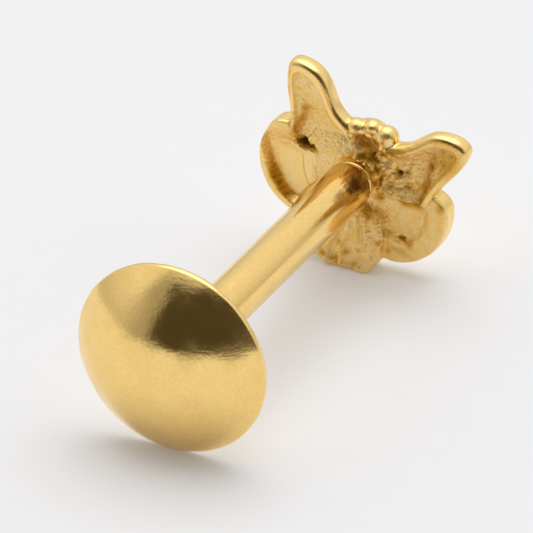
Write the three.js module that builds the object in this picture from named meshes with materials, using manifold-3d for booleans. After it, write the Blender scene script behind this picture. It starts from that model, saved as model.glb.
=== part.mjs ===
// A butterfly stud earring with a flat-back post, in millimetres, +Z up, lying at rest on z = 0.
// The post runs along +Y from the domed disc to the butterfly. The disc stands on its rim and the
// butterfly on one side of its tail, so the butterfly is rolled about the post.
import * as THREE from "three";
import { mergeVertices } from "three/addons/utils/BufferGeometryUtils.js";
import Module from "manifold-3d";

const { Manifold, Mesh } = await start();

// The disc and its tube.
const DISC_RADIUS = 2.5;
const DOME_RISE = 1.2; // above the rim, as a part of a ball
const RIM_THICKNESS = 0.12;
const TUBE_RADIUS = 0.6; // 16 gauge
const BORE_RADIUS = 0.4;
const BORE_DEPTH = 5;
const POST_LENGTH = 9.3; // from the disc's flat face to the tube's open end
const SOLDER_FILLET = 0.22; // where the tube meets the disc

// The butterfly's place on the post, and how it lies. Its own pieces are measured from BACK, the
// plane of its collar, which meets the tube's open end.
const END_GAP = 0.06; // between the tube's open end and the collar
const BACK = POST_LENGTH + END_GAP;
const PIN = { radius: 0.33, from: -4.4, to: 0.2 };
const COLLAR = { radius: 0.72, from: 0, to: 0.5 };
const WEB = { radius: 1.3, from: 0.3, to: 0.6 }; // the metal between the roots of the wings
const ROLL = THREE.MathUtils.degToRad(16);
const TAIL_DROP = DISC_RADIUS / Math.cos(ROLL); // so that the post lies level
const TAIL_HALF_WIDTH = 1.12;
const RIM_WIDTH = 0.2; // the raised walls round the hollow backs

const GOLD = { color: 0xe3b350, roughness: 0.22, metalness: 1 };

// The wings on the right. back is how far a wing's rim lies beyond BACK, depth is its thickness at
// the edge, swell is how far its front rises in the middle, and hollow is the depth of its back.
const UPPER_WING = {
  middle: { x: 1.42, z: 1.22 },
  back: 0.08,
  depth: 0.45,
  swell: 0.14,
  hollow: 0.22,
  sweepDeg: -4,
  outline: [
    { x: 0.3, z: 0.1 },
    { x: 0.35, z: 1.15 },
    { x: 0.95, z: 1.6 },
    { x: 1.5, z: 2.18 },
    { x: 2.06, z: 2.37 },
    { x: 2.52, z: 2.18 },
    { x: 2.46, z: 1.62 },
    { x: 2.18, z: 0.95 },
    { x: 1.88, z: 0.2 },
    { x: 1.5, z: 0.02 },
    { x: 1.1, z: -0.1 },
  ],
};
const LOWER_WING = {
  middle: { x: 1.5, z: -0.55 },
  back: 0.32,
  depth: 0.57,
  swell: 0.08,
  hollow: 0.18,
  sweepDeg: 2,
  outline: [
    { x: 0.35, z: -0.4 },
    { x: 0.8, z: 0.3 },
    { x: 1.7, z: 0.56 },
    { x: 2.4, z: 0.42 },
    { x: 2.61, z: -0.26 },
    { x: 2.46, z: -0.94 },
    { x: 2.02, z: -1.5 },
    { x: 1.4, z: -1.78 },
    { x: 0.7, z: -1.6 },
  ],
};

// The body's three swellings on the front, from head to tail: centre and half sizes.
const BODY_BACK = 0.02; // where they are cut off flat
const BODY = [
  { z: 1.26, y: 0.54, rx: 0.47, ry: 0.42, rz: 0.38 },
  { z: 0.55, y: 0.5, rx: 0.46, ry: 0.5, rz: 0.85 },
  { z: -1.1, y: 0.58, rx: 0.36, ry: 0.42, rz: 1.05 },
];
// Beads round the back of the head. The last two run together.
const HEAD_BEADS = [
  { x: -0.37, z: 1.3, y: 0.4, rx: 0.29, ry: 0.27, rz: 0.24 },
  { x: 0.0, z: 1.53, y: 0.42, rx: 0.22, ry: 0.26, rz: 0.19 },
  { x: 0.4, z: 1.4, y: 0.42, rx: 0.3, ry: 0.29, rz: 0.29 },
  { x: 0.52, z: 1.18, y: 0.34, rx: 0.27, ry: 0.26, rz: 0.22 },
];
// The hollow under the head, open to the back.
const HEAD_HOLLOW = { z: 0.98, y: 0.12, rx: 0.3, ry: 0.36, rz: 0.34 };

const WELD = 1e-4; // vertices nearer than this are one

// manifold-3d starts asynchronously, once.
async function start() {
  const library = await Module();
  library.setup();
  return library;
}

function toSolid(geometry) {
  geometry.deleteAttribute("normal");
  geometry.deleteAttribute("uv");
  const merged = mergeVertices(geometry, WELD);
  return new Manifold(
    new Mesh({
      numProp: 3,
      vertProperties: merged.attributes.position.array,
      triVerts: new Uint32Array(merged.index.array),
    }),
  );
}

function toMesh(solid, name, look) {
  const { vertProperties, triVerts } = solid.getMesh();
  const geometry = new THREE.BufferGeometry();
  geometry.setAttribute("position", new THREE.BufferAttribute(vertProperties, 3));
  geometry.setIndex(new THREE.BufferAttribute(triVerts, 1));
  geometry.computeVertexNormals();
  const mesh = new THREE.Mesh(geometry, new THREE.MeshStandardMaterial(look));
  mesh.name = name;
  return mesh;
}

// A closed smooth outline through the points of a table.
function smoothOutline(table, divisions = 36) {
  const points = table.map(({ x, z }) => new THREE.Vector3(x, 0, z));
  const curve = new THREE.CatmullRomCurve3(points, true, "centripetal");
  return curve.getPoints(divisions).slice(0, -1);
}

// A hollow-backed plate: rings of the outline run from the middle of the front, over the edge and
// round the rim, to the middle of the hollow. The outline goes clockwise as seen from the back.
function hollowPlate({ outline, middle, back, depth, swell, hollow, sweepDeg = 0 }) {
  const front = back + depth;
  // reach is the share of the way from the middle to the outline, inset a distance back from there.
  const rings = [
    { reach: 0.3, inset: 0, y: front + 0.94 * swell },
    { reach: 0.6, inset: 0, y: front + 0.7 * swell },
    { reach: 0.82, inset: 0, y: front + 0.33 * swell },
    { reach: 1, inset: 0.09, y: front - 0.06 },
    { reach: 1, inset: 0.02, y: front - 0.16 },
    { reach: 1, inset: 0, y: front - 0.28 },
    { reach: 1, inset: 0, y: back + 0.04 },
    { reach: 1, inset: 0.04, y: back },
    { reach: 1, inset: RIM_WIDTH, y: back },
    { reach: 1, inset: RIM_WIDTH + 0.05, y: back + 0.8 * hollow },
    { reach: 0.6, inset: 0, y: back + hollow },
  ];
  const centre = new THREE.Vector3(middle.x, 0, middle.z);
  const n = outline.length;
  const points = [new THREE.Vector3(middle.x, front + swell, middle.z)];
  for (const { reach, inset, y } of rings) {
    for (const point of outline) {
      const ray = point.clone().sub(centre);
      ray.setLength(ray.length() * reach - inset);
      points.push(ray.add(centre).setY(y));
    }
  }
  points.push(new THREE.Vector3(middle.x, back + 1.1 * hollow, middle.z));
  const last = points.length - 1;
  const index = [];
  for (let i = 0; i < n; i++) {
    const next = (i + 1) % n;
    index.push(0, 1 + i, 1 + next);
    for (let ring = 0; ring + 1 < rings.length; ring++) {
      const a = 1 + ring * n;
      const b = a + n;
      index.push(a + i, b + i, b + next, a + i, b + next, a + next);
    }
    index.push(last, last - n + next, last - n + i);
  }
  const geometry = new THREE.BufferGeometry().setFromPoints(points).setIndex(index);
  return toSolid(geometry).rotate([0, 0, -sweepDeg]);
}

function bothSides(solid) {
  return solid.add(solid.mirror([1, 0, 0]));
}

function ellipsoid({ x = 0, z, y, rx, ry, rz }) {
  const geometry = new THREE.SphereGeometry(1, 28, 16);
  geometry.scale(rx, ry, rz);
  geometry.translate(x, y, z);
  return toSolid(geometry);
}

function rodAlongPost({ radius, from, to }) {
  const geometry = new THREE.CylinderGeometry(radius, radius, to - from, 32);
  geometry.translate(0, (from + to) / 2, 0);
  return toSolid(geometry);
}

// The domed disc and its tube: one turned profile, from the dome's tip to the bottom of the bore.
function discPost() {
  const profile = [];
  const turned = (radius, y) => profile.push(new THREE.Vector2(radius, y));
  const ball = (DISC_RADIUS ** 2 + DOME_RISE ** 2) / (2 * DOME_RISE);
  const halfAngle = Math.asin(DISC_RADIUS / ball);
  const domeSteps = 14;
  for (let i = 0; i <= domeSteps; i++) {
    const angle = (i / domeSteps) * halfAngle;
    const rise = DOME_RISE - ball * (1 - Math.cos(angle));
    turned(ball * Math.sin(angle), -RIM_THICKNESS - rise);
  }
  turned(DISC_RADIUS, 0);
  const filletSteps = 5;
  for (let i = 0; i <= filletSteps; i++) {
    const turn = (i / filletSteps) * (Math.PI / 2);
    turned(TUBE_RADIUS + SOLDER_FILLET * (1 - Math.sin(turn)), SOLDER_FILLET * (1 - Math.cos(turn)));
  }
  const chamfer = 0.05;
  turned(TUBE_RADIUS, POST_LENGTH - chamfer);
  turned(TUBE_RADIUS - chamfer, POST_LENGTH);
  turned(BORE_RADIUS, POST_LENGTH);
  turned(BORE_RADIUS, POST_LENGTH - BORE_DEPTH);
  turned(0, POST_LENGTH - BORE_DEPTH);
  return toSolid(new THREE.LatheGeometry(profile, 56));
}

// The tail between the lower wings. Its foot has two straight sides that rise from the middle at
// the angle of the roll, so that one of them lies flat on the floor.
function tail() {
  const slope = Math.tan(ROLL);
  const foot = (x) => new THREE.Vector3(x, 0, -TAIL_DROP + Math.abs(x) * slope);
  const share = [1, 0.75, 0.5, 0.25, 0, -0.25, -0.5, -0.75, -1];
  const corner = TAIL_DROP - TAIL_HALF_WIDTH * slope;
  const side = [
    { x: TAIL_HALF_WIDTH + 0.04, z: -corner + 0.14 },
    { x: 1.27, z: -1.8 },
    { x: 1.2, z: -1.3 },
    { x: 0.95, z: -0.8 },
  ];
  const outline = [
    ...side.map(({ x, z }) => new THREE.Vector3(x, 0, z)).reverse(),
    ...share.map((s) => foot(s * TAIL_HALF_WIDTH)),
    ...side.map(({ x, z }) => new THREE.Vector3(-x, 0, z)),
  ];
  const middle = { x: 0, z: -1.7 };
  return hollowPlate({ outline, middle, back: 0.06, depth: 0.7, swell: 0.08, hollow: 0.1 });
}

// The casting and its pin, built with the collar's back face on y = 0.
function butterflyFront() {
  const wings = [UPPER_WING, LOWER_WING].map((wing) => {
    return bothSides(hollowPlate({ ...wing, outline: smoothOutline(wing.outline) }));
  });
  const body = Manifold.union([...BODY, ...HEAD_BEADS].map(ellipsoid)).trimByPlane([0, 1, 0], BODY_BACK);
  const casting = [...wings, tail(), body, rodAlongPost(COLLAR), rodAlongPost(WEB)];
  return Manifold.union(casting).subtract(ellipsoid(HEAD_HOLLOW)).add(rodAlongPost(PIN));
}

const butterfly = toMesh(butterflyFront(), "butterfly_front", GOLD);
butterfly.position.y = BACK;
butterfly.rotation.y = ROLL;

const stud = new THREE.Group();
stud.add(toMesh(discPost(), "disc_post", GOLD));
stud.add(butterfly);

// The stud lies on the floor, with the middle of its base at the origin.
stud.position.z = DISC_RADIUS;
stud.updateMatrixWorld(true);
const box = new THREE.Box3().setFromObject(stud, true);
stud.position.x = -(box.min.x + box.max.x) / 2;
stud.position.y = -(box.min.y + box.max.y) / 2;

export default stud;
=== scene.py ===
import math

import bmesh
import bpy
import numpy as np
from mathutils import Matrix, Vector, noise
from mathutils.geometry import interpolate_bezier


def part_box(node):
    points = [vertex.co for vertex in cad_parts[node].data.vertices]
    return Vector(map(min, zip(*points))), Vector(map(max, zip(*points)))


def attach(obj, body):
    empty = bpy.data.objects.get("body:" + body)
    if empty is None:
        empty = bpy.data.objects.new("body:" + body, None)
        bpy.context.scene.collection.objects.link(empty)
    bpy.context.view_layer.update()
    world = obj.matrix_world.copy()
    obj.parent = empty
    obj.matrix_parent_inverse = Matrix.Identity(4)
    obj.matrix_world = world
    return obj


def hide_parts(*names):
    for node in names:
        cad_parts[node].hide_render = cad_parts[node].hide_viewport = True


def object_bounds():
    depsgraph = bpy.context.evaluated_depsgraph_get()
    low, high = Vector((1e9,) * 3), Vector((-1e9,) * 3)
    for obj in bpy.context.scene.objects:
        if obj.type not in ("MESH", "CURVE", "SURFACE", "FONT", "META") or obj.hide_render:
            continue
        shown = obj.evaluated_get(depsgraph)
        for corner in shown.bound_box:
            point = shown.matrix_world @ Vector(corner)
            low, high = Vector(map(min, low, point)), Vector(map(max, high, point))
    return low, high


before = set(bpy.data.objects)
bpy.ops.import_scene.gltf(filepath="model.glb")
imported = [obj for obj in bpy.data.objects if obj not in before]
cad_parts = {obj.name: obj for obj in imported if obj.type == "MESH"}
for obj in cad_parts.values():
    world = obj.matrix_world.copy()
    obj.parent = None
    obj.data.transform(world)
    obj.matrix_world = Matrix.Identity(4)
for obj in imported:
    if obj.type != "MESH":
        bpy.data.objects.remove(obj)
cad_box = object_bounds()


# ---- The camera ----
# It looks down on the disc end from 30 degrees up, turned 27 degrees to the right, through a long
# lens, so that a stud of about a centimetre fills most of the view.
MM = 0.001
CAMERA_AZIMUTH = math.radians(27)
CAMERA_ELEVATION = math.radians(30)
CAMERA_DISTANCE = 280 * MM
FIELD_WIDTH = 12.8 * MM
NEAREST_SEEN = 10 * MM

towards_camera = Vector(
    (
        math.sin(CAMERA_AZIMUTH) * math.cos(CAMERA_ELEVATION),
        -math.cos(CAMERA_AZIMUTH) * math.cos(CAMERA_ELEVATION),
        math.sin(CAMERA_ELEVATION),
    )
)
camera = bpy.data.objects.new("camera", bpy.data.cameras.new("camera"))
camera.location = (cad_box[0] + cad_box[1]) / 2 + towards_camera * CAMERA_DISTANCE
camera.rotation_euler = (-towards_camera).to_track_quat("-Z", "Y").to_euler()
camera.data.lens = camera.data.sensor_width * CAMERA_DISTANCE / FIELD_WIDTH
camera.data.clip_start = NEAREST_SEEN
bpy.context.scene.collection.objects.link(camera)
bpy.context.scene.camera = camera
bpy.context.scene.view_settings.view_transform = "Standard"


# ---- The floor ----
# A plain sheet of white acrylic, faintly lit from below. It is wide enough for its far edge to stay
# out of sight.
SHEET_REACH = 1.5
SHEET_GLOW = 0.15


class Shade:
    """A socket in a node tree. Sums on it add Math nodes, and node() adds any other kind."""

    def __init__(self, tree, socket=None):
        self.tree = tree
        self.socket = socket

    def node(self, kind, settings=None, inputs=None, output=0):
        made = self.tree.nodes.new(kind)
        for name, value in (settings or {}).items():
            setattr(made, name, value)
        for name, value in (inputs or {}).items():
            if isinstance(value, Shade):
                self.tree.links.new(value.socket, made.inputs[name])
            else:
                made.inputs[name].default_value = value
        return Shade(self.tree, made.outputs[output])

    def math(self, operation, *values):
        return self.node("ShaderNodeMath", {"operation": operation}, dict(enumerate(values)))

    def __add__(self, other):
        return self.math("ADD", self, other)

    __radd__ = __add__

    def __mul__(self, other):
        return self.math("MULTIPLY", self, other)

    __rmul__ = __mul__

    def __sub__(self, other):
        return self.math("SUBTRACT", self, other)

    def __rsub__(self, other):
        return self.math("SUBTRACT", other, self)

    def between(self, low, high):
        """0 below low, 1 above high, and a smooth rise from one to the other."""
        limits = {"Value": self, "From Min": low, "From Max": high}
        return self.node("ShaderNodeMapRange", {"interpolation_type": "SMOOTHSTEP"}, limits)

    def mix(self, low, high):
        """A colour: low where this is 0 and high where it is 1."""
        # A Mix node's colour sockets share their names with others, so they go by number.
        ends = {"Factor": self, 6: low, 7: high}
        return self.node("ShaderNodeMix", {"data_type": "RGBA"}, ends, output=2)


def new_material(name):
    """A material with nothing in it but its shader, and the node tree to paint it with."""
    material = bpy.data.materials.new(name)
    material.use_nodes = True
    shader = material.node_tree.nodes["Principled BSDF"]
    return material, shader, Shade(material.node_tree)


def feed(shader, **sockets):
    """Sets or links the shader's sockets, named with _ for a space."""
    for name, value in sockets.items():
        socket = shader.inputs[name.replace("_", " ")]
        if isinstance(value, Shade):
            value.tree.links.new(value.socket, socket)
        else:
            socket.default_value = value


sheet_material, shader, paint = new_material("white_sheet")
position = paint.node("ShaderNodeTexCoord", output="Object")
mottle = paint.node("ShaderNodeTexNoise", None, {"Vector": position, "Scale": 900, "Detail": 4})
feed(
    shader,
    Base_Color=mottle.mix((0.72, 0.72, 0.726, 1), (0.74, 0.74, 0.745, 1)),
    Roughness=0.85,
    Specular_IOR_Level=0.1,
    Emission_Color=(1, 1, 1, 1),
    Emission_Strength=SHEET_GLOW,
)

sheet = bmesh.new()
bmesh.ops.create_grid(sheet, x_segments=2, y_segments=2, size=SHEET_REACH)
floor = bpy.data.objects.new("floor", bpy.data.meshes.new("floor"))
sheet.to_mesh(floor.data)
floor.data.materials.append(sheet_material)
bpy.context.scene.collection.objects.link(floor)


# ---- The light ----
# A white tent, open towards the dark room behind the camera. A grey flap hangs across the left of
# the opening, and a wide round soft box hangs overhead.
def soft_edge(degrees, before, after):
    """Where an edge of the tent at that angle begins and ends, in radians."""
    return math.radians(degrees) - before, math.radians(degrees) + after


# Azimuths turn from straight before the disc towards +X, and heights rise from the horizon.
FLAP_LEFT = soft_edge(-44, 0.3, 0.15)
ROOM_LEFT = soft_edge(-26, 0.08, 0.08)
ROOM_RIGHT = soft_edge(78, 0.25, 0.15)
ROOM_TOP = soft_edge(61, 0.17, 0.1)
TENT_FOOT = (-0.1, 0.65)
TENT_LIGHT = (0.88, 0.88, 0.895, 1)
TENT_FOOT_LIGHT = (0.58, 0.57, 0.56, 1)
FLAP_LIGHT = (0.4, 0.39, 0.37, 1)
ROOM_LIGHT = (0.066, 0.057, 0.038, 1)
SOFT_BOX_WIDTH = 0.7
SOFT_BOX_POWER = 1.68
SOFT_BOX_PLACE = (-0.05, 0.13, 0.6)

tent = bpy.data.worlds.new("tent")
tent.use_nodes = True
bpy.context.scene.world = tent
paint = Shade(tent.node_tree)
direction = paint.node("ShaderNodeTexCoord", output="Generated")
east, north, up = (
    paint.node("ShaderNodeSeparateXYZ", None, {"Vector": direction}, output=axis) for axis in "XYZ"
)
azimuth = paint.math("ARCTAN2", east, 0 - north)
height = paint.math("ARCSINE", up)
below_top = 1 - height.between(*ROOM_TOP)
left_of_right = 1 - azimuth.between(*ROOM_RIGHT)
opening = azimuth.between(*FLAP_LEFT) * left_of_right * below_top
cloth = height.between(*TENT_FOOT).mix(TENT_FOOT_LIGHT, TENT_LIGHT)
past_the_flap = azimuth.between(*ROOM_LEFT).mix(FLAP_LIGHT, ROOM_LIGHT)
feed(tent.node_tree.nodes["Background"], Color=opening.mix(cloth, past_the_flap), Strength=1.0)

overhead = bpy.data.lights.new("overhead", "AREA")
overhead.shape = "DISK"
overhead.size = SOFT_BOX_WIDTH
overhead.energy = SOFT_BOX_POWER
soft_box = bpy.data.objects.new("overhead", overhead)
soft_box.location = SOFT_BOX_PLACE
soft_box.rotation_euler = soft_box.location.to_track_quat("Z", "Y").to_euler()
soft_box.visible_camera = False
bpy.context.scene.collection.objects.link(soft_box)


# ---- The domed disc ----
# The part that lies behind the ear: a low dome of gold, part of a ball, with a thin edge. It was
# turned, then polished by hand, which left faint ripples in the dome.
disc_low, disc_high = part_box("disc_post")
DISC_RADIUS = (disc_high.x - disc_low.x) / 2 / MM
DOME_RISE = 1.2
EDGE_THICKNESS = 0.12
DISC_THICKNESS = DOME_RISE + EDGE_THICKNESS
EDGE_ROUNDING = 0.035
DOME_STEPS = 56
TURNING_STEPS = 160
DISC_RIPPLE = 0.007
RIPPLE_SIZE = 0.55

post_place = Matrix.Translation(
    (
        (disc_low.x + disc_high.x) / 2,
        disc_low.y + DISC_THICKNESS * MM,
        (disc_low.z + disc_high.z) / 2,
    )
) @ Matrix.Scale(MM, 4)


def turned(profile, steps=TURNING_STEPS, ring=False):
    """A bmesh in millimetres, turned about the post's axis from a profile of (radius, y)."""
    shape = bmesh.new()
    points = [shape.verts.new((radius, y, 0)) for radius, y in profile]
    pairs = list(zip(points, points[1:]))
    if ring:
        pairs.append((points[-1], points[0]))
    edges = [shape.edges.new(pair) for pair in pairs]
    bmesh.ops.spin(
        shape,
        geom=points + edges,
        cent=(0, 0, 0),
        axis=(0, 1, 0),
        dvec=(0, 0, 0),
        angle=math.tau,
        steps=steps,
        use_merge=True,
    )
    bmesh.ops.remove_doubles(shape, verts=shape.verts, dist=1e-4)
    bmesh.ops.recalc_face_normals(shape, faces=shape.faces)
    return shape


def round_edges(shape, is_edge, size):
    """Rounds the edges that is_edge picks."""
    bmesh.ops.bevel(
        shape,
        geom=[edge for edge in shape.edges if is_edge(edge)],
        offset=size,
        offset_type="OFFSET",
        affect="EDGES",
        segments=3,
        profile=0.5,
        material=-1,
        clamp_overlap=True,
    )


def ripple(shape, depth, size, seed):
    """Moves the surface in and out by waves of that depth and size."""
    shape.normal_update()
    for vertex in shape.verts:
        wave = noise.noise(vertex.co / size + Vector((seed, 0, 0)))
        vertex.co += vertex.normal * depth * wave


def gold_piece(name, shape, place, material, node):
    """Makes the bmesh a piece at its place in the frame, which stands for that CAD node."""
    shape.transform(place)
    piece = bpy.data.objects.new(name, bpy.data.meshes.new(name))
    shape.to_mesh(piece.data)
    shape.free()
    piece.data.polygons.foreach_set("use_smooth", [True] * len(piece.data.polygons))
    piece.data.materials.append(material)
    bpy.context.scene.collection.objects.link(piece)
    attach(piece, "root")
    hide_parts(node)


BRIGHT_GOLD = (1.0, 0.71, 0.26, 1)
WORN_GOLD = (0.94, 0.64, 0.22, 1)
# A dark brown painted over the tube near its open end as a painted dark reflection.
PAINTED_DARK_REFLECTION = (0.13, 0.055, 0.008, 1)


def dark_reflection_mask(paint, position, dark_reflections):
    """Ragged patches of painted dark reflection: each has a place, its size along each axis, and a
    share.
    """
    torn = paint.node("ShaderNodeTexNoise", None, {"Vector": position, "Scale": 5200, "Detail": 4})
    darkened = 0
    for place, size, share in dark_reflections:
        inverse = [1 / length for length in size]
        moved = [-at * scale for at, scale in zip(place, inverse)]
        away = paint.node(
            "ShaderNodeMapping",
            {"vector_type": "POINT"},
            {"Vector": position, "Scale": inverse, "Location": moved},
        )
        reach = paint.node(
            "ShaderNodeVectorMath", {"operation": "LENGTH"}, {0: away}, output="Value"
        )
        dark_patch = 1 - (reach + (torn - 0.5) * 1.2).between(0.3, 1.25)
        darkened = paint.math("MAXIMUM", darkened, dark_patch * share)
    return darkened


def polished_gold(name, hairline_scale, hairline_depth, grain_depth, roughness, dark_reflections=()):
    """Hand-polished gold: clouded by fine wear and a fine grain, with hairlines drawn out along one
    axis, and darkened by painted dark reflection in the patches given. The roughness runs between two
    values."""
    material, shader, paint = new_material(name)
    position = paint.node("ShaderNodeTexCoord", output="Object")
    stretched = paint.node(
        "ShaderNodeMapping", {"vector_type": "POINT"}, {"Vector": position, "Scale": hairline_scale}
    )
    hairlines = paint.node(
        "ShaderNodeTexNoise", None, {"Vector": stretched, "Scale": 1, "Detail": 5}
    )
    clouds = paint.node(
        "ShaderNodeTexNoise",
        None,
        {"Vector": position, "Scale": 1400, "Detail": 3, "Roughness": 0.6},
    )
    grain = paint.node(
        "ShaderNodeTexNoise", None, {"Vector": position, "Scale": 12000, "Detail": 3}
    )
    grain_bump = paint.node("ShaderNodeBump", None, {"Distance": grain_depth, "Height": grain})
    bump = paint.node(
        "ShaderNodeBump",
        None,
        {"Strength": 0.25, "Distance": hairline_depth, "Height": hairlines, "Normal": grain_bump},
    )
    wear = clouds.between(0.35, 0.7)
    colour = (wear * 0.4 + grain.between(0.35, 0.65) * 0.6).mix(BRIGHT_GOLD, WORN_GOLD)
    polish = wear * (roughness[1] - roughness[0]) + roughness[0]
    # Painted dark reflection: inside the patches the colour turns dark brown and the gold is a little
    # rougher.
    if dark_reflections:
        darkened = dark_reflection_mask(paint, position, dark_reflections)
        colour = darkened.mix(colour, PAINTED_DARK_REFLECTION)
        polish += darkened * 0.2
    feed(shader, Base_Color=colour, Metallic=1.0, Roughness=polish, Normal=bump)
    return material


edge_radius = DISC_RADIUS - DISC_RIPPLE
ball_radius = (edge_radius**2 + DOME_RISE**2) / (2 * DOME_RISE)
dome_angle = math.asin(edge_radius / ball_radius)
dome = []
for step in range(DOME_STEPS + 1):
    angle = dome_angle * step / DOME_STEPS
    behind = ball_radius * (1 - math.cos(angle)) - DISC_THICKNESS
    dome.append((ball_radius * math.sin(angle), behind))
# A ring of points inside the flat face lets that face ripple too.
flat_face = [(edge_radius, 0), (edge_radius * 0.6, 0), (0, 0)]
disc = turned(dome + flat_face)


def on_the_rim(edge):
    radii = [math.hypot(vertex.co.x, vertex.co.z) for vertex in edge.verts]
    depths = [vertex.co.y for vertex in edge.verts]
    return min(radii) > edge_radius * 0.999 and max(depths) - min(depths) < 1e-4


round_edges(disc, on_the_rim, EDGE_ROUNDING)
ripple(disc, DISC_RIPPLE, RIPPLE_SIZE, seed=3.0)
disc_gold = polished_gold(
    "disc_gold",
    hairline_scale=(1300, 1300, 16000),
    hairline_depth=6e-6,
    grain_depth=2.6e-6,
    roughness=(0.12, 0.24),
)
gold_piece("domed_disc", disc, post_place, disc_gold, "disc_post")


# ---- The tube post ----
# A drawn gold tube, 1.2 mm thick, that goes through the ear. It is open at the far end, where the
# butterfly's pin pushes in.
POST_LENGTH = (disc_high.y - disc_low.y) / MM - DISC_THICKNESS
TUBE_RADIUS = 0.6
BORE_RADIUS = 0.4
BORE_DEPTH = 5
TUBE_SUNK = 0.05
TUBE_EDGE = 0.07
TUBE_STEPS = 96

tube = turned(
    [
        (0, -TUBE_SUNK),
        (TUBE_RADIUS, -TUBE_SUNK),
        *((TUBE_RADIUS, POST_LENGTH * step / 12) for step in range(1, 12)),
        (TUBE_RADIUS, POST_LENGTH - TUBE_EDGE),
        (TUBE_RADIUS - TUBE_EDGE * 0.3, POST_LENGTH - TUBE_EDGE * 0.3),
        (TUBE_RADIUS - TUBE_EDGE, POST_LENGTH),
        (BORE_RADIUS + TUBE_EDGE, POST_LENGTH),
        (BORE_RADIUS, POST_LENGTH - TUBE_EDGE),
        (BORE_RADIUS, POST_LENGTH - BORE_DEPTH),
        (0, POST_LENGTH - BORE_DEPTH),
    ],
    steps=TUBE_STEPS,
)
# Patches of painted dark reflection on the tube near its open end, next to the butterfly.
DARK_REFLECTION_PATCHES = (
    # turn from the top (degrees), distance from the open end, size across, size along, share
    (50, 0.62, 0.26, 0.5, 1.0),
    (66, 0.28, 0.22, 0.3, 0.8),
    (42, 1.3, 0.1, 0.4, 0.5),
    (85, 0.06, 0.3, 0.1, 0.7),
    (20, 0.1, 0.2, 0.08, 0.4),
)


def dark_reflection_on_tube(turn, from_end, across, along, share):
    """The painted dark reflection patch's place and size in the frame, and its share."""
    turn = math.radians(turn)
    place = Vector(
        (TUBE_RADIUS * math.sin(turn), POST_LENGTH - from_end, TUBE_RADIUS * math.cos(turn))
    )
    return post_place @ place, Vector((across, along, across)) * MM, share


tube_gold = polished_gold(
    "tube_gold",
    hairline_scale=(9000, 260, 9000),
    hairline_depth=8e-6,
    grain_depth=6e-7,
    roughness=(0.13, 0.24),
    dark_reflections=[dark_reflection_on_tube(*dark_patch) for dark_patch in DARK_REFLECTION_PATCHES],
)
gold_piece("tube_post", tube, post_place, tube_gold, "disc_post")


# ---- The solder at the post's root ----
# A thin fillet of gold solder that ran round the tube where it meets the disc. It is a little
# lumpy, because it was never dressed.
SOLDER_LUMPS = 0.035
LUMP_SIZE = 0.3

solder = turned(
    [
        # From inside the disc, up the cove, to inside the tube's wall.
        (0.55, -0.03),
        (0.93, -0.03),
        (0.87, 0.015),
        (0.76, 0.05),
        (0.69, 0.1),
        (0.645, 0.18),
        (0.61, 0.3),
        (0.55, 0.3),
    ],
    ring=True,
)
ripple(solder, SOLDER_LUMPS, LUMP_SIZE, seed=11.0)
gold_piece("root_solder", solder, post_place, tube_gold, "disc_post")


# ---- The butterfly's wings ----
# Four wings of the cast gold front: two narrow upper wings, and two round lower wings set behind
# them. The backs are hollowed inside a raised rim. The fronts swell, with a sunk panel and veins.
SWELL_REACH = 0.9
PANEL_DEPTH = 0.05
PANEL_MARGIN = (0.17, 0.23)
VEIN_HEIGHT = 0.035
VEIN_SIDES = (0.01, 0.06)
SPARE_BACK, SPARE_FRONT = 0.1, 0.3
SKIN_STEP = 0.027

# The butterfly sits a little off the tube's end, rolled about the post until its tail's side lies on
# the floor.
END_GAP = 0.06
ROLL = math.radians(16)
butterfly_place = (
    post_place
    @ Matrix.Translation((0, POST_LENGTH + END_GAP, 0))
    @ Matrix.Rotation(ROLL, 4, "Y")
)

# Heights along the post and outlines (x, z) of the wings on the +X side, in millimetres.
UPPER_WING = {
    "back": 0.08,
    "front": 0.52,
    "swell": 0.14,
    "lean": 0.07,
    "back_rounding": 0.16,
    "front_rounding": 0.09,
    "outline": [
        (0.3, 0.0),
        (0.35, 1.15),
        (0.95, 1.57),
        (1.5, 2.18),
        (2.05, 2.35),
        (2.5, 2.17),
        (2.45, 1.62),
        (2.18, 0.95),
        (1.88, 0.2),
        (1.5, 0.02),
        (1.1, -0.1),
    ],
    "veins": [(1.9, 2.1), (2.2, 1.6), (2.0, 1.0), (1.7, 0.4)],
    "vein_root": (0.4, 0.6),
}
LOWER_WING = {
    "back": 0.32,
    "front": 0.9,
    "swell": 0.06,
    "lean": -0.035,
    "back_rounding": 0.07,
    "front_rounding": 0.1,
    "outline": [
        (0.35, -0.4),
        (0.8, 0.3),
        (1.7, 0.56),
        (2.4, 0.42),
        (2.6, -0.26),
        (2.45, -0.94),
        (2.02, -1.5),
        (1.4, -1.78),
        (0.7, -1.6),
    ],
    "veins": [(2.3, 0.1), (2.3, -0.7), (1.7, -1.4), (1.1, -1.5)],
    "vein_root": (0.4, -0.4),
}
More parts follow.
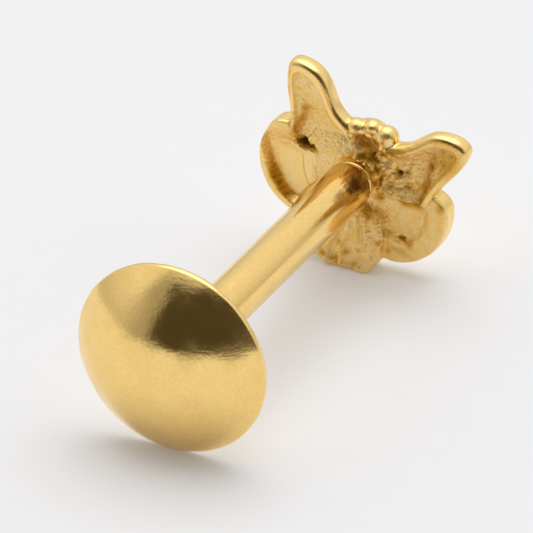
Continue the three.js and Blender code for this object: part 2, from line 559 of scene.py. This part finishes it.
# The hollows in the wings' backs, on one side only where the two wings came out unlike. The wall
# slopes down inside the ring, and the depth fades out between two heights.
HOLLOWS = (
    {
        "wing": UPPER_WING,
        "sides": (-1, 1),
        "depth": 0.07,
        "wall": 0.08,
        "fade": (3, 4),
        "ring": [
            (0.1, -0.3),
            (0.34, 0.92),
            (1.02, 1.35),
            (1.58, 1.92),
            (2.06, 2.1),
            (2.3, 1.98),
            (2.24, 1.6),
            (2.0, 0.95),
            (1.8, 0.2),
            (1.4, -0.3),
        ],
    },
    {
        "wing": UPPER_WING,
        "sides": (-1,),
        "depth": 0.26,
        "wall": 0.24,
        "fade": (0.5, 1.75),
        "ring": [
            (0.1, -0.6),
            (0.34, 0.92),
            (1.02, 1.35),
            (1.58, 1.92),
            (2.06, 2.1),
            (2.0, 1.6),
            (1.89, 1.0),
            (1.94, 0.3),
            (1.9, -0.4),
            (1.2, -0.8),
        ],
    },
    {
        "wing": UPPER_WING,
        "sides": (1,),
        "depth": 0.24,
        "wall": 0.36,
        "fade": (1.5, 2.2),
        "ring": [
            (0.1, 0.0),
            (0.34, 0.92),
            (1.02, 1.35),
            (1.5, 1.8),
            (1.84, 1.82),
            (1.9, 1.2),
            (1.84, 0.2),
            (1.4, 0.06),
            (0.8, 0.0),
        ],
    },
    {
        "wing": LOWER_WING,
        "sides": (-1,),
        "depth": 0.24,
        "wall": 0.19,
        "fade": (-0.4, 0.5),
        "ring": [
            (0.3, -0.4),
            (0.9, 0.6),
            (1.7, 1.0),
            (2.6, 0.7),
            (2.66, -0.1),
            (2.33, -0.83),
            (1.88, -1.34),
            (1.34, -1.62),
            (0.66, -1.4),
        ],
    },
    {
        "wing": LOWER_WING,
        "sides": (1,),
        "depth": 0.13,
        "wall": 0.24,
        "fade": (3, 4),
        "ring": [
            (0.3, -0.4),
            (0.9, 0.15),
            (1.6, 0.3),
            (2.02, 0.18),
            (2.16, -0.26),
            (2.08, -0.76),
            (1.86, -1.1),
            (1.42, -1.2),
            (0.8, -1.3),
        ],
    },
)


def smooth_ring(corners, steps=7):
    """Points (x, z) on a smooth closed line through the corners."""
    knots = [Vector((x, z, 0)) for x, z in corners]
    line = []
    for i, start in enumerate(knots):
        before, end, after = knots[i - 1], knots[(i + 1) % len(knots)], knots[(i + 2) % len(knots)]
        leaving = start + (end - before) / 6
        arriving = end - (after - start) / 6
        line += interpolate_bezier(start, leaving, arriving, end, steps + 1)[:-1]
    return [(point.x, point.y) for point in line]


def off_line(x, z, start, end):
    """How far each point lies from the line between two points."""
    run, rise = end[0] - start[0], end[1] - start[1]
    along = ((x - start[0]) * run + (z - start[1]) * rise) / (run * run + rise * rise)
    along = np.clip(along, 0, 1)
    return np.hypot(x - start[0] - along * run, z - start[1] - along * rise)


def inward(x, z, ring):
    """How far inside the ring each point lies, and below zero how far outside."""
    nearest = np.full(x.shape, np.inf)
    inside = np.zeros(x.shape, bool)
    for (x0, z0), (x1, z1) in zip(ring, ring[1:] + ring[:1]):
        nearest = np.minimum(nearest, off_line(x, z, (x0, z0), (x1, z1)))
        if z1 != z0:
            inside ^= ((z0 > z) != (z1 > z)) & (x < x0 + (z - z0) * (x1 - x0) / (z1 - z0))
    return np.where(inside, nearest, -nearest)


def ease(value, low, high):
    """0 below low, 1 above high, and a smooth rise from one to the other."""
    share = np.clip((value - low) / (high - low), 0, 1)
    return share * share * (3 - 2 * share)


def rounded(edge, radius):
    """How far a face falls away at that distance from a rounded edge."""
    share = np.clip(edge / radius, 0, 1)
    return radius * (1 - np.sqrt(share * (2 - share)))


def slab(ring, back, front):
    """A flat slab of that outline (x, z), from back to front."""
    shape = bmesh.new()
    sheet = shape.faces.new([shape.verts.new((x, back, z)) for x, z in ring])
    pushed = bmesh.ops.extrude_face_region(shape, geom=[sheet])["geom"]
    moved = [part for part in pushed if isinstance(part, bmesh.types.BMVert)]
    bmesh.ops.translate(shape, verts=moved, vec=(0, front - back, 0))
    bmesh.ops.recalc_face_normals(shape, faces=shape.faces)
    return shape


def wing_faces(form, x, z):
    """The y of a wing's back and front at each point, both none where the wing isn't."""
    edge = inward(np.abs(x), z, smooth_ring(form["outline"]))
    there = edge > -SKIN_STEP
    lean = form["lean"] * np.abs(x)
    back = form["back"] + lean + rounded(edge, form["back_rounding"])
    for hollow in HOLLOWS:
        if hollow["wing"] is form:
            mouth = inward(np.abs(x), z, smooth_ring(hollow["ring"]))
            ours = np.isin(np.where(x < 0, -1, 1), hollow["sides"])
            deep = 1 - ease(z, *hollow["fade"])
            back += ours * deep * hollow["depth"] * ease(mouth, 0, hollow["wall"])
    bulge = 1 - (1 - np.clip(edge / SWELL_REACH, 0, 1)) ** 2
    front = form["front"] + lean + form["swell"] * bulge - rounded(edge, form["front_rounding"])
    front -= PANEL_DEPTH * ease(edge, *PANEL_MARGIN)
    off_vein = np.minimum.reduce(
        [off_line(np.abs(x), z, form["vein_root"], vein) for vein in form["veins"]]
    )
    front += VEIN_HEIGHT * (1 - ease(off_vein, *VEIN_SIDES))
    return np.where(there, back, np.inf), np.where(there, front, -np.inf)


# The slabs are too thick at first, and are cut back to the faces once they are joined.
slabs = []
for form in (UPPER_WING, LOWER_WING):
    ring = smooth_ring(form["outline"])
    ends = form["back"] - SPARE_BACK, form["front"] + SPARE_FRONT
    for side in (-1, 1):
        slabs.append(slab([(side * x, z) for x, z in ring], *ends))


# ---- The butterfly's tail, body and head ----
# The middle of the same casting: a fan-shaped tail with a foot that lies flat on one side, a long
# body, a head of beads with a hollow under them, and a dished boss where the pin's collar sits.
TAIL_BACK = 0.06
TAIL_FRONT = 0.78
TAIL_SLOPE = 0.12
TAIL_BACK_ROUNDING = 0.08
TAIL_FRONT_ROUNDING = 0.14
TAIL_DROP = DISC_RADIUS / math.cos(ROLL)
TAIL_HALF_WIDTH = 1.12
corner = TAIL_DROP - TAIL_HALF_WIDTH * math.tan(ROLL)
tail_side = [
    (0.5, -0.3),
    (0.95, -0.8),
    (1.2, -1.3),
    (1.27, -1.8),
    (TAIL_HALF_WIDTH + 0.04, -corner + 0.14),
    (TAIL_HALF_WIDTH, -corner),
]
tail_ring = tail_side + [(0, -TAIL_DROP)] + [(-x, z) for x, z in reversed(tail_side)]
slabs.append(slab(tail_ring, TAIL_BACK, TAIL_FRONT))


def egg(shape, place, size):
    """Adds an egg of those half sizes to the bmesh."""
    bmesh.ops.create_icosphere(
        shape,
        subdivisions=3,
        radius=1,
        matrix=Matrix.Translation(place) @ Matrix.Diagonal((*size, 1)),
    )


def rod(shape, radius, start, end):
    """Adds a round rod along the post's axis."""
    bmesh.ops.create_cone(
        shape,
        cap_ends=True,
        segments=48,
        radius1=radius,
        radius2=radius,
        depth=end - start,
        matrix=Matrix.Translation((0, (start + end) / 2, 0)) @ Matrix.Rotation(math.pi / 2, 4, "X"),
    )


EGGS = (
    # place (x, y, z), half sizes: the head and its beads, then the body and the tail's ridge
    ((0, 0.56, 1.2), (0.5, 0.36, 0.42)),
    ((-0.37, 0.4, 1.3), (0.29, 0.27, 0.24)),
    ((0.0, 0.42, 1.53), (0.22, 0.26, 0.19)),
    ((0.41, 0.42, 1.44), (0.31, 0.29, 0.31)),
    ((0.52, 0.34, 1.18), (0.27, 0.26, 0.22)),
    ((0, 0.56, 0.55), (0.46, 0.4, 0.85)),
    ((0, 0.58, -1.1), (0.36, 0.38, 1.0)),
)
BOSS_RADIUS = 1.5
BOSS_BACK = 0.24
BOSS_DISH = 0.24
BOSS_FRONT = 0.6
COLLAR_RADIUS = 0.55

middle = bmesh.new()
for place, size in EGGS:
    egg(middle, place, size)
rod(middle, COLLAR_RADIUS - 0.1, 0.2, 0.5)
# The boss is too thick at the back at first, like the slabs.
boss = bmesh.new()
rod(boss, BOSS_RADIUS, 0.1, BOSS_FRONT)
slabs.append(boss)


# ---- The butterfly's casting ----
# Wings, tail, body and head came out of one mould. The gold was left rough in the hollows of the
# back, with pits where gas was caught. The front, the rims and the head were polished.
def skin(shape, step):
    """The outer skin of the solids in a bmesh, as one even mesh of squares."""
    rough_solids = bpy.data.objects.new("solids", bpy.data.meshes.new("solids"))
    shape.to_mesh(rough_solids.data)
    shape.free()
    bpy.context.scene.collection.objects.link(rough_solids)
    remesh = rough_solids.modifiers.new("skin", "REMESH")
    remesh.mode = "VOXEL"
    remesh.voxel_size = step
    skinned = bmesh.new()
    skinned.from_object(rough_solids, bpy.context.evaluated_depsgraph_get())
    bpy.data.objects.remove(rough_solids)
    return skinned


def points_of(shape):
    """The places and normals of a bmesh's vertices, as two arrays."""
    shape.normal_update()
    places = np.array([vertex.co for vertex in shape.verts])
    normals = np.array([vertex.normal for vertex in shape.verts])
    return places, normals


def put_points(shape, places):
    for vertex, place in zip(shape.verts, places):
        vertex.co = place


def smooth(shape, rounds):
    for _ in range(rounds):
        bmesh.ops.smooth_vert(
            shape, verts=shape.verts, factor=0.5, use_axis_x=True, use_axis_y=True, use_axis_z=True
        )


def joined(shapes):
    """One bmesh that holds them all."""
    whole = bmesh.new()
    for shape in shapes:
        carrier = bpy.data.meshes.new("carrier")
        shape.to_mesh(carrier)
        whole.from_mesh(carrier)
        bpy.data.meshes.remove(carrier)
        shape.free()
    return whole


def smoothed_places(shape, rounds):
    """Where the vertices would lie after that much smoothing."""
    softer = shape.copy()
    smooth(softer, rounds)
    places, _ = points_of(softer)
    softer.free()
    return places


def speckle(places, size):
    """Noise from -1 to 1 at each place, in blobs of that size."""
    return np.array([noise.noise(Vector(place) / size) for place in places])


def spread(shape, values, rounds):
    """Evens out the values of neighbouring vertices."""
    shape.verts.index_update()
    ends = np.array([[vertex.index for vertex in edge.verts] for edge in shape.edges])
    neighbours = np.bincount(ends.ravel(), minlength=len(values))
    for _ in range(rounds):
        around = np.bincount(ends[:, 0], values[ends[:, 1]], len(values))
        around += np.bincount(ends[:, 1], values[ends[:, 0]], len(values))
        values = (values + around / neighbours) / 2
    return values


# Where two wings lie over each other, the lower one's back is cut this much deeper.
BEHIND_UPPER = 0.3


def casting_faces(x, z):
    """The y of the whole back and front at each point, without the body and the head."""
    reach = np.hypot(x, z)
    tail_edge = inward(x, z, tail_ring)
    in_tail = tail_edge > -SKIN_STEP
    in_boss = reach < BOSS_RADIUS + SKIN_STEP
    tail_back = TAIL_BACK + TAIL_SLOPE * ease(z, -1.5, -0.6)
    tail_back += rounded(tail_edge, TAIL_BACK_ROUNDING)
    tail_front = TAIL_FRONT - rounded(tail_edge, TAIL_FRONT_ROUNDING)
    boss_back = BOSS_BACK + BOSS_DISH * ease(reach, 0.6, BOSS_RADIUS)
    upper_back, upper_front = wing_faces(UPPER_WING, x, z)
    lower_back, lower_front = wing_faces(LOWER_WING, x, z)
    under_upper = inward(np.abs(x), z, smooth_ring(UPPER_WING["outline"]))
    lower_back += BEHIND_UPPER * ease(under_upper, 0, 0.1)
    tail_back, tail_front = np.where(in_tail, (tail_back, tail_front), ((np.inf,), (-np.inf,)))
    boss_back = np.where(in_boss, boss_back, np.inf)
    boss_front = np.where(in_boss, BOSS_FRONT, -np.inf)
    back = np.minimum.reduce((upper_back, lower_back, boss_back, tail_back))
    front = np.maximum.reduce((upper_front, lower_front, boss_front, tail_front))
    return np.minimum(back, front), front


casting = skin(joined(slabs), SKIN_STEP)
places, normals = points_of(casting)
back, front = casting_faces(places[:, 0], places[:, 2])
places[:, 1] = np.clip(places[:, 1], back, front)
put_points(casting, places)
casting = skin(joined([casting, middle]), SKIN_STEP)
smooth(casting, 2)
# The flat parts go back to their exact height, which the skin had stepped. How far a normal turns
# to the back or front says how flat a place is.
FLAT = (0.5, 0.75)
STEEP = (0.45, 0.75)
FAR_OFF = 9
places, normals = points_of(casting)
back, front = casting_faces(places[:, 0], places[:, 2])
for face, way in ((back, -1), (front, 1)):
    off = np.where(np.isfinite(face), face, FAR_OFF) - places[:, 1]
    share = ease(way * normals[:, 1], *FLAT) * (1 - ease(np.abs(off), 0.03, 0.05))
    places[:, 1] += share * off
put_points(casting, places)
smooth(casting, 1)
# The walls between the flats are dressed smooth.
places, normals = points_of(casting)
on_wall = 1 - ease(np.abs(normals[:, 1]), *STEEP)
places += on_wall[:, None] * (smoothed_places(casting, 5) - places)
put_points(casting, places)

PITS = (
    # x, z, half width, half height, depth, painted shade: blow holes and shrink marks in the back,
    # with painted shade in them
    (0.95, 0.62, 0.11, 0.09, 0.14, 1.0),
    (1.16, 0.72, 0.1, 0.04, 0.06, 0.5),
    (1.25, 0.36, 0.16, 0.09, 0.06, 0.3),
    (0.82, 0.3, 0.12, 0.1, 0.07, 0.3),
    (1.6, -1.05, 0.11, 0.07, 0.1, 0.8),
    (1.08, -1.25, 0.12, 0.07, 0.05, 0.3),
    (0.54, -0.71, 0.26, 0.19, 0.12, 0.45),
    (0.0, 0.66, 0.17, 0.13, 0.12, 0.85),
    (0.25, 0.74, 0.14, 0.12, 0.12, 0.8),
    (0.45, 0.5, 0.12, 0.14, 0.1, 0.8),
    (0.62, 0.25, 0.08, 0.2, 0.1, 0.9),
    (0.74, -0.15, 0.12, 0.2, 0.08, 0.5),
    (0.5, -0.55, 0.16, 0.1, 0.06, 0.4),
    (0.0, 0.98, 0.32, 0.22, 0.3, 0.4),
    (-1.62, 0.05, 0.17, 0.1, 0.16, 1.0),
    (-1.4, 0.02, 0.16, 0.06, 0.09, 0.8),
)
SHADE_PATCHES = (
    # x, z, half width, half height, painted shade: patches of painted shade where walls and rims
    # shade the back
    (2.1, 1.65, 0.45, 0.5, 0.42),
    (1.72, 1.27, 0.1, 0.12, 0.75),
    (1.8, 0.92, 0.11, 0.18, 0.6),
    (1.76, 0.6, 0.08, 0.22, 0.7),
    (1.74, 0.28, 0.08, 0.18, 0.7),
    (1.68, 0.05, 0.16, 0.12, 0.8),
    (1.5, -0.02, 0.15, 0.09, 0.6),
    (1.35, -0.03, 0.15, 0.11, 0.75),
    (1.64, -1.34, 0.42, 0.12, 0.34),
    (1.82, -1.04, 0.1, 0.1, 0.5),
    (1.36, -1.5, 0.1, 0.08, 0.5),
    (2.3, 0.36, 0.1, 0.12, 0.45),
    (0.56, -0.66, 0.28, 0.2, 0.75),
    (-0.18, -2.3, 0.08, 0.1, 0.6),
    (0.2, -2.3, 0.12, 0.06, 0.6),
    (0.43, -2.0, 0.1, 0.07, 0.6),
    (0.25, -2.43, 0.1, 0.05, 0.5),
    (0.68, -2.2, 0.07, 0.14, 0.5),
    (0.2, -1.8, 0.1, 0.08, 0.5),
    (0.55, 1.1, 0.12, 0.08, 0.8),
    (0.74, 1.25, 0.14, 0.08, 0.7),
    (0.93, 1.4, 0.14, 0.07, 0.5),
    (1.12, 1.58, 0.12, 0.05, 0.35),
    (1.3, 1.78, 0.12, 0.05, 0.3),
    (-2.45, 1.95, 0.1, 0.3, 0.3),
    (-2.32, 1.35, 0.08, 0.35, 0.3),
    (-1.75, 1.15, 0.13, 0.13, 0.5),
    (-1.8, 0.8, 0.08, 0.25, 0.4),
    (-1.88, 0.35, 0.06, 0.25, 0.45),
    (-2.28, -0.64, 0.06, 0.16, 0.4),
    (-2.21, -0.8, 0.08, 0.14, 0.55),
    (-2.13, -0.92, 0.09, 0.11, 0.7),
    (-2.05, -1.04, 0.1, 0.11, 0.75),
    (-1.96, -1.15, 0.11, 0.1, 0.8),
    (-1.86, -1.25, 0.11, 0.09, 0.8),
    (-1.74, -1.35, 0.12, 0.08, 0.8),
    (-1.58, -1.45, 0.14, 0.08, 0.8),
)
FOOT_GRAINS = (
    # x, z, half width, height
    (0.02, -2.4, 0.12, 0.1),
    (0.46, -2.14, 0.1, 0.08),
    (0.42, -2.32, 0.1, 0.08),
    (0.78, -1.84, 0.14, 0.09),
    (0.84, -1.56, 0.09, 0.07),
    (0.88, -2.2, 0.12, 0.08),
    (0.16, -2.08, 0.06, 0.05),
)


def straying(places):
    """How far a pit's ragged outline strays at each place."""
    return 0.1 * speckle(places, 0.22) + 0.07 * speckle(places, 0.09)


places, normals = points_of(casting)
x, y, z = places.T
reach = np.hypot(x, z)
tail_edge = inward(x, z, tail_ring)
faces_back = ease(-normals[:, 1], 0.2, 0.6)
sunk = np.zeros(x.shape)
shade_spots = np.zeros(x.shape)
ragged_x = x + straying(places)
ragged_z = z + straying(places + 5)
for pit_x, pit_z, half_width, half_height, depth, darkness in PITS:
    out = ((ragged_x - pit_x) / half_width) ** 2 + ((ragged_z - pit_z) / half_height) ** 2
    sunk += depth * np.exp(-out)
    shade_spots = np.maximum(shade_spots, darkness * np.exp(-0.6 * out * out))
for patch_x, patch_z, half_width, half_height, darkness in SHADE_PATCHES:
    off_x, off_z = (x + ragged_x) / 2 - patch_x, (z + ragged_z) / 2 - patch_z
    out = (off_x / half_width) ** 2 + (off_z / half_height) ** 2
    shade_spots = np.maximum(shade_spots, darkness * np.exp(-0.8 * out))
for grain_x, grain_z, half_width, height in FOOT_GRAINS:
    sunk -= height * np.exp(-((x - grain_x) ** 2 + (z - grain_z) ** 2) / half_width**2)
# Ridges run down the tail from the collar, like the ribs of a fan.
RIBS_PER_TURN = 38
RIB_DEPTH = 0.04
rib_angle = np.arctan2(x - 0.1, 0.2 - z)
rib = np.cos(rib_angle * RIBS_PER_TURN + 1.5 * speckle(places, 0.6))
sunk += RIB_DEPTH * rib * ease(reach, 0.95, 1.3) * ease(tail_edge, 0.05, 0.25)
y += faces_back * sunk
# The front's long body is ringed below the post's axis, and the tail is ribbed beside it too.
RING_SPACING = math.tau / 26
RING_DEPTH = 0.035
FRONT_RIB_DEPTH = 0.02
faces_front = ease(normals[:, 1], 0.2, 0.6)
ringed = ease(-z, 0.35, 0.5) * (1 - ease(-z, 1.75, 1.95)) * (1 - ease(np.abs(x), 0.26, 0.34))
y -= faces_front * ringed * RING_DEPTH * ease(np.cos(z * math.tau / RING_SPACING), 0.3, 1)
ribbed = ease(reach, 1.5, 1.7) * ease(tail_edge, 0.1, 0.45) * (1 - ringed)
y -= faces_front * FRONT_RIB_DEPTH * (1 + rib) * ribbed

# The rough skin from the mould is left in the hollows, on the tail's back and round the collar. It is
# lumpy on the +X side and at the foot, and spongy near the collar.
COARSE_SKIN = 0.17
FINE_SKIN = 0.08
SLOW_WAVE = 0.5
hollow_share = np.maximum(ease(tail_edge, 0, 0.1), 1 - ease(reach, 1.0, 1.15))
for hollow in HOLLOWS:
    mouth = inward(np.abs(x), z, smooth_ring(hollow["ring"]))
    ours = np.isin(np.where(x < 0, -1, 1), hollow["sides"])
    hollow_share = np.maximum(hollow_share, ours * ease(mouth, 0, 0.1))
on_head = ease(z, 1.05, 1.2) * (1 - ease(np.abs(x), 0.5, 0.6))
on_lower_left = ease(-x, 0.9, 1.3) * ease(-z, -0.1, 0.15)
off_collar = ease(reach, COLLAR_RADIUS, COLLAR_RADIUS + 0.06)
rough = faces_back * hollow_share * off_collar * (1 - on_head) * (1 - 0.96 * on_lower_left)
lumpy = ease(x, 0.2, 0.7) * ease(z, -0.2, 0.2)
spongy = np.exp(-((x - 0.5) ** 2 + (z - 0.35) ** 2) / 0.45**2)
foot = ease(-z, 1.9, 2.2)
relief = (0.014 + 0.02 * lumpy + 0.05 * spongy + 0.03 * foot) * speckle(places, COARSE_SKIN)
relief += (0.007 + 0.008 * lumpy + 0.02 * spongy) * speckle(places, FINE_SKIN)
relief = rough * relief + 0.012 * (1 - 0.6 * on_lower_left) * speckle(places + 9, SLOW_WAVE)
places += normals * relief[:, None]
# The foot was filed flat on the side that it lies on, so nothing reaches below the floor.
under_floor = np.minimum(z * math.cos(ROLL) - x * math.sin(ROLL) + DISC_RADIUS, 0)
places[:, 0] += under_floor * math.sin(ROLL)
places[:, 2] -= under_floor * math.cos(ROLL)
put_points(casting, places)

# Painted shade darkens the colour wherever the surface is hollow, and in the pits and shade patches.
places, normals = points_of(casting)
hollowness = np.einsum("ij,ij->i", smoothed_places(casting, 12) - places, normals)
backward = ease(-normals[:, 1], -0.1, 0.3)
shade_share = off_collar * np.maximum(faces_back * ease(hollowness, 0.01, 0.05), shade_spots * backward)
shade_share = spread(casting, shade_share, 4)

# Where the casting was left dull: all that is rough, and satin places on the wings and the head.
on_lower = ease(inward(np.abs(x), z, smooth_ring(LOWER_WING["outline"])), -0.1, 0)
on_upper = ease(inward(np.abs(x), z, smooth_ring(UPPER_WING["outline"])), -0.05, 0)
satin = on_lower * (1 - on_upper) * np.where(x > 0, 0.9, 0.55)
satin = np.maximum(satin, 0.4 * on_head)
satin = np.maximum(satin, 0.25 * ease(-z, 1.0, 1.4))
satin = np.maximum(satin, 0.6 * on_upper * ease(np.abs(x) - 1.9 - 0.2 * z, 0, 0.15)) * backward

as_cast = casting.verts.layers.float.new("as_cast")
painted_shade = casting.verts.layers.float.new("painted_shade")
for vertex, share, dirt in zip(casting.verts, np.maximum(rough, satin), shade_share):
    vertex[as_cast] = share
    vertex[painted_shade] = dirt

DRESSED_GOLD = (0.99, 0.7, 0.26, 1)
CAST_GOLD = (0.98, 0.67, 0.2, 1), (1.0, 0.77, 0.36, 1)
# Painted shade: an amber for the warm shade along walls and rims, and a dark brown for the deep shade
# in pits and hollows.
PAINTED_AMBER_SHADE = (0.72, 0.4, 0.045, 1)
PAINTED_DARK_SHADE = (0.15, 0.07, 0.006, 1)

butterfly_gold, shader, paint = new_material("butterfly_gold")
position = paint.node("ShaderNodeTexCoord", output="Object")
sand = paint.node("ShaderNodeTexNoise", None, {"Vector": position, "Scale": 16000, "Detail": 4})
grit = paint.node("ShaderNodeTexVoronoi", None, {"Vector": position, "Scale": 14000})
clouds = paint.node("ShaderNodeTexNoise", None, {"Vector": position, "Scale": 4200, "Detail": 4})
cast = paint.node("ShaderNodeAttribute", {"attribute_name": "as_cast"}, output="Fac")
darkness = paint.node("ShaderNodeAttribute", {"attribute_name": "painted_shade"}, output="Fac")
polish_bump = paint.node(
    "ShaderNodeBump", None, {"Strength": 0.2, "Distance": 6e-6, "Height": sand}
)
cast_bump = paint.node(
    "ShaderNodeBump",
    None,
    {"Strength": 0.8, "Distance": 2e-5, "Height": (sand + grit) * cast, "Normal": polish_bump},
)
bare = cast.mix(DRESSED_GOLD, clouds.between(0.3, 0.7).mix(*CAST_GOLD))
# The painted shade share turns the colour amber, then dark brown where it is strongest, and makes the
# gold a little rougher.
amber_shaded = darkness.between(0.0, 0.55).mix(bare, PAINTED_AMBER_SHADE)
feed(
    shader,
    Base_Color=darkness.between(0.4, 1.0).mix(amber_shaded, PAINTED_DARK_SHADE),
    Metallic=1.0,
    Roughness=cast * 0.23 + darkness * 0.1 + clouds.between(0.3, 0.75) * 0.06 + 0.23,
    Normal=cast_bump,
)
gold_piece(
    "butterfly_casting", casting, butterfly_place, butterfly_gold, "butterfly_front"
)


# ---- The butterfly's pin ----
# A plain gold pin with a turned collar, soldered behind the casting. It pushes into the tube up to
# the collar, and friction holds it.
PIN_RADIUS = 0.33
PIN_LENGTH = 4.4
COLLAR_EDGE = 0.05
COLLAR_DEPTH = 0.35

pin = turned(
    [
        # The tapered tip, the shank, and the collar.
        (0, -PIN_LENGTH),
        (PIN_RADIUS - 0.12, -PIN_LENGTH),
        (PIN_RADIUS - 0.03, -PIN_LENGTH + 0.06),
        (PIN_RADIUS, -PIN_LENGTH + 0.16),
        *((PIN_RADIUS, -PIN_LENGTH * (1 - step / 6)) for step in range(1, 6)),
        (PIN_RADIUS, 0),
        (COLLAR_RADIUS - COLLAR_EDGE, 0),
        (COLLAR_RADIUS - COLLAR_EDGE * 0.3, COLLAR_EDGE * 0.3),
        (COLLAR_RADIUS, COLLAR_EDGE),
        (COLLAR_RADIUS, COLLAR_DEPTH),
        (0, COLLAR_DEPTH),
    ],
    steps=TUBE_STEPS,
)
gold_piece("butterfly_pin", pin, butterfly_place, tube_gold, "butterfly_front")
